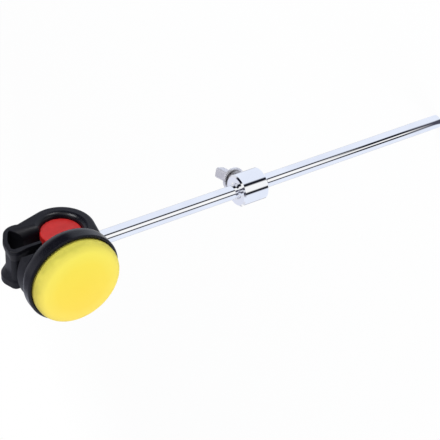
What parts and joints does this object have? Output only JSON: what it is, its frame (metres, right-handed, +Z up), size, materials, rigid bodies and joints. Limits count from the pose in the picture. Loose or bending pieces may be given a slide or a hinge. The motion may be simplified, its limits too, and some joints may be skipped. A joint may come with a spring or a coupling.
{
  "type": "bass drum beater",
  "caption": "Bass drum pedal beater: chromed shaft with a sliding memory lock and a round yellow striking pad in a black head that swivels on a red hub.",
  "frame": {"origin": "centre of the shaft's tail end, where the pedal's clamp comes on", "axes": "+Z up the shaft to the head, -Y the way the pad strikes, X along the hub's axis"},
  "size_m": [0.0514, 0.0595, 0.2899],
  "materials": {
    "chrome": "polished chrome plate",
    "satin_steel": "satin nickel plate",
    "spring_steel": "plated spring steel",
    "dark_steel": "blackened steel",
    "red_plastic": "satin moulded",
    "black_plastic": "satin moulded",
    "yellow_rubber": "satin moulded"
  },
  "bodies": {
    "shaft": {"beater_shaft": "chrome", "pivot_hub": "red_plastic", "hub_set_screw": "dark_steel"},
    "head": {"head_yoke": "black_plastic", "pad_cup": "black_plastic", "cup_screws": "dark_steel", "striking_pad": "yellow_rubber"},
    "collar": {"memory_lock_collar": "chrome"},
    "washer": {"lock_washer": "spring_steel"},
    "screw": {"memory_lock_screw": "satin_steel"}
  },
  "joints": [
    {"name": "head_swivel", "type": "hinge", "parent": "shaft", "child": "head", "pos_m": [0, 0.0047, 0.2567], "axis": [1, 0, 0], "range_deg": [-8, 8]},
    {"name": "collar_slide", "type": "slide", "parent": "shaft", "child": "collar", "axis": [0, 0, 1], "range_m": [-0.1, 0.075]},
    {"name": "lock_travel", "type": "slide", "parent": "collar", "child": "washer", "axis": [-0.2504, 0.9681, 0], "range_m": [0, 0.003]},
    {"name": "lock_turn", "type": "hinge", "parent": "washer", "child": "screw", "pos_m": [0, 0, 0.1414], "axis": [-0.2504, 0.9681, 0], "range_deg": [0, 1080]}
  ],
  "couplings": [
    {"joint": "lock_turn", "follows": "lock_travel", "rad_per_m": 6283.2}
  ]
}
